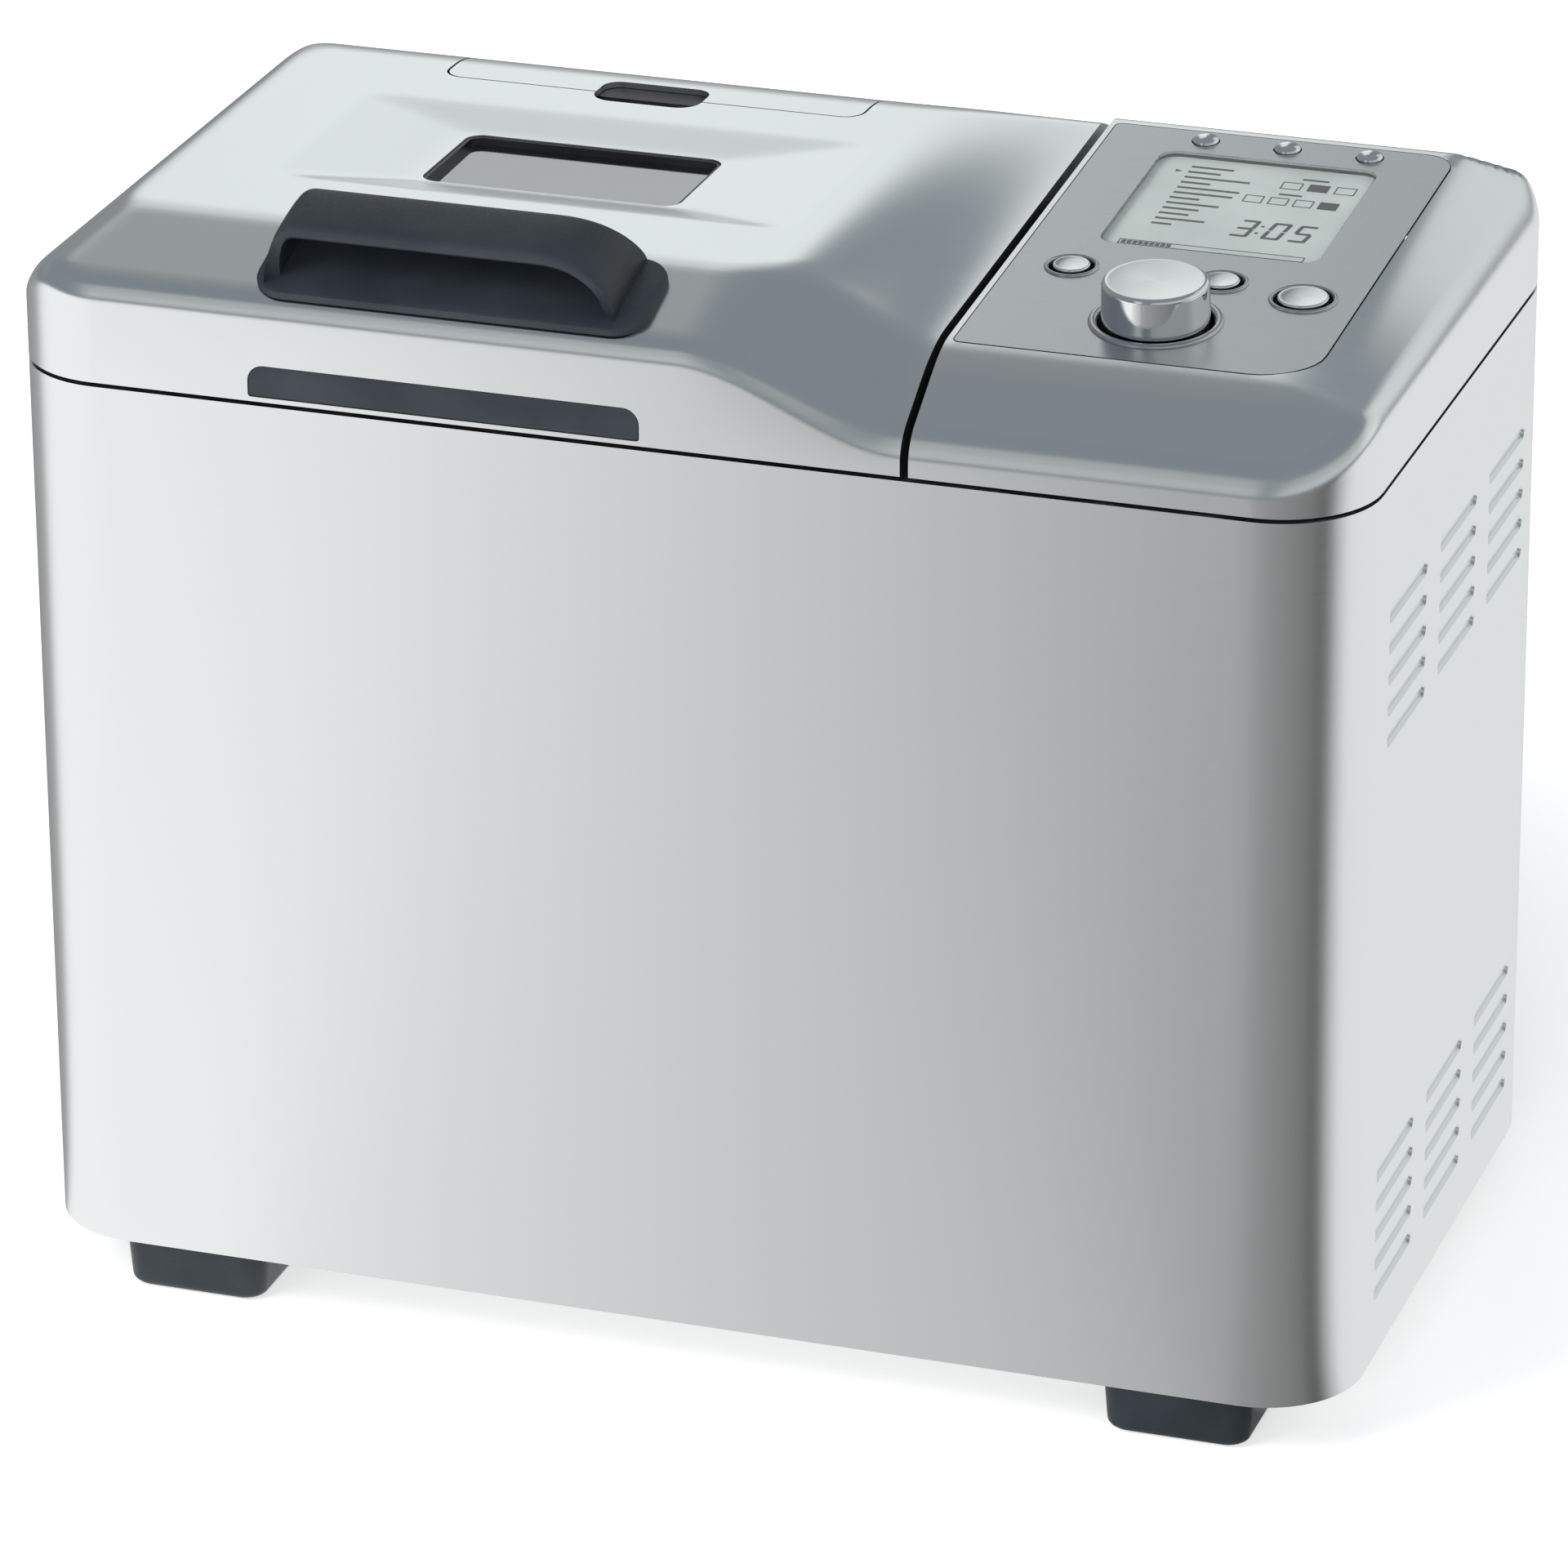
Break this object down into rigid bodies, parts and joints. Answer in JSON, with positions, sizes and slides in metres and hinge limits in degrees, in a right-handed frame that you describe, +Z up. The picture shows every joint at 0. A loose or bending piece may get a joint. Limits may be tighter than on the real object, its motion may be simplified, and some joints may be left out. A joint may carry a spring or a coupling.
{
  "type": "bread machine",
  "caption": "Countertop bread machine: brushed steel casing, hinged lid with window, hood handle and dispenser hatch, dial and display panel, lift-out pan with bail, belt-driven paddle",
  "frame": {"origin": "on the table under the middle of the casing", "axes": "+X to the right seen from the front, +Y to the back, +Z up"},
  "size_m": [0.41, 0.24, 0.3534],
  "materials": {
    "brushed_steel": "fine brushed",
    "dark_plastic": "satin",
    "foot_plastic": "satin",
    "zinc_sheet": "galvanised",
    "hardware_steel": "turned",
    "chrome": "polished",
    "fascia": "satin",
    "button_plastic": "satin",
    "option_plastic": "satin",
    "lens": "clear",
    "window_glass": "clear",
    "display": "liquid crystal",
    "circuit_board": "solder mask",
    "switch_plastic": "moulded",
    "white_plastic": "moulded",
    "liner_sheet": "satin",
    "seal_rubber": "matte",
    "motor_metal": "satin",
    "pulley_metal": "turned",
    "belt_rubber": "matte",
    "capacitor_can": "plain",
    "housing_cast": "cast",
    "chamber_steel": "rolled",
    "element_sheath": "heat tinted",
    "bushing_ceramic": "unglazed",
    "non_stick": "non-stick coating",
    "bush_brass": "turned"
  },
  "bodies": {
    "casing": {"body_wrap": "brushed_steel", "panel_cover": "brushed_steel", "top_deck": "dark_plastic", "cord_gland": "dark_plastic", "foot_front_left": "foot_plastic", "foot_front_right": "foot_plastic", "foot_rear_left": "foot_plastic", "foot_rear_right": "foot_plastic", "base_plate": "zinc_sheet", "chassis": "zinc_sheet", "rear_panel": "zinc_sheet", "hinge_brackets": "zinc_sheet", "foot_screws": "hardware_steel", "hinge_pins": "hardware_steel", "control_rings": "chrome", "fascia_plate": "fascia", "display_lens": "lens", "display_module": "display", "control_board": "circuit_board", "power_board": "circuit_board", "panel_switches": "switch_plastic", "motor": "motor_metal", "drive_belt": "belt_rubber", "capacitor": "capacitor_can", "spindle_housing": "housing_cast", "pan_socket": "housing_cast", "baking_chamber": "chamber_steel", "heating_element": "element_sheath", "temperature_sensor": "element_sheath", "element_bushings": "bushing_ceramic"},
    "lid": {"lid_shell": "brushed_steel", "front_trim": "dark_plastic", "lid_handle": "dark_plastic", "hatch_pin": "hardware_steel", "finger_cup": "dark_plastic", "dispenser_bin": "white_plastic", "lid_liner": "liner_sheet", "lid_seal": "seal_rubber", "window_frame": "dark_plastic", "window_glass": "window_glass", "window_inner_glass": "window_glass"},
    "hatch": {"dispenser_hatch": "brushed_steel", "hatch_catch": "hardware_steel"},
    "flap": {"dispenser_flap": "white_plastic"},
    "dial": {"selection_dial": "chrome"},
    "delay_key": {"delay_button": "button_plastic"},
    "modify_key": {"modify_button": "button_plastic"},
    "cancel_key": {"cancel_button": "button_plastic"},
    "start_key": {"start_button": "button_plastic"},
    "option_key_left": {"option_button_left": "option_plastic"},
    "option_key_middle": {"option_button_middle": "option_plastic"},
    "option_key_right": {"option_button_right": "option_plastic"},
    "drive": {"drive_shaft": "hardware_steel", "drive_pulley": "pulley_metal"},
    "motor_rotor": {"motor_pulley": "pulley_metal"},
    "pan": {"bread_pan": "non_stick", "pan_bush": "bush_brass"},
    "bail": {"pan_bail": "chrome"},
    "paddle": {"pan_shaft": "hardware_steel", "kneading_paddle": "non_stick"}
  },
  "joints": [
    {"name": "lid_hinge", "type": "hinge", "parent": "casing", "child": "lid", "pos_m": [-0.0665, 0.1145, 0.303], "axis": [-1, 0, 0], "range_deg": [0, 85]},
    {"name": "hatch_hinge", "type": "hinge", "parent": "lid", "child": "hatch", "pos_m": [-0.0665, 0.092, 0.3277], "axis": [-1, 0, 0], "range_deg": [0, 75]},
    {"name": "flap_hinge", "type": "hinge", "parent": "lid", "child": "flap", "pos_m": [-0.0665, 0.0614, 0.2994], "axis": [-1, 0, 0], "range_deg": [0, 80]},
    {"name": "dial_turn", "type": "hinge", "parent": "casing", "child": "dial", "pos_m": [0.1285, -0.05708, 0.32643], "axis": [0, -0.0696, 0.9976], "continuous": true},
    {"name": "drive_spin", "type": "hinge", "parent": "casing", "child": "drive", "pos_m": [-0.0665, 0, 0.0395], "axis": [0, 0, 1], "continuous": true},
    {"name": "motor_spin", "type": "hinge", "parent": "casing", "child": "motor_rotor", "pos_m": [0.12525, 0, 0.0395], "axis": [0, 0, 1], "continuous": true},
    {"name": "pan_lift", "type": "slide", "parent": "casing", "child": "pan", "axis": [0, 0, 1], "range_m": [0, 0.04]},
    {"name": "bail_swing", "type": "hinge", "parent": "pan", "child": "bail", "pos_m": [-0.0665, 0, 0.2456], "axis": [-1, 0, 0], "range_deg": [0, 35]},
    {"name": "paddle_spin", "type": "hinge", "parent": "pan", "child": "paddle", "pos_m": [-0.0665, 0, 0.1], "axis": [0, 0, 1], "continuous": true},
    {"name": "delay_press", "type": "slide", "parent": "casing", "child": "delay_key", "axis": [0, 0.0696, -0.9976], "range_m": [0, 0.0008], "stiffness_N_per_m": 1500},
    {"name": "modify_press", "type": "slide", "parent": "casing", "child": "modify_key", "axis": [0, 0.0696, -0.9976], "range_m": [0, 0.0008], "stiffness_N_per_m": 1500},
    {"name": "cancel_press", "type": "slide", "parent": "casing", "child": "cancel_key", "axis": [0, 0.0696, -0.9976], "range_m": [0, 0.0008], "stiffness_N_per_m": 1500},
    {"name": "start_press", "type": "slide", "parent": "casing", "child": "start_key", "axis": [0, 0.0696, -0.9976], "range_m": [0, 0.0008], "stiffness_N_per_m": 1500},
    {"name": "option_press_left", "type": "slide", "parent": "casing", "child": "option_key_left", "axis": [0, 0.0696, -0.9976], "range_m": [0, 0.0008], "stiffness_N_per_m": 1500},
    {"name": "option_press_middle", "type": "slide", "parent": "casing", "child": "option_key_middle", "axis": [0, 0.0696, -0.9976], "range_m": [0, 0.0008], "stiffness_N_per_m": 1500},
    {"name": "option_press_right", "type": "slide", "parent": "casing", "child": "option_key_right", "axis": [0, 0.0696, -0.9976], "range_m": [0, 0.0008], "stiffness_N_per_m": 1500}
  ],
  "couplings": [
    {"joint": "motor_spin", "follows": "drive_spin", "ratio": 5},
    {"joint": "paddle_spin", "follows": "drive_spin", "ratio": 1}
  ]
}
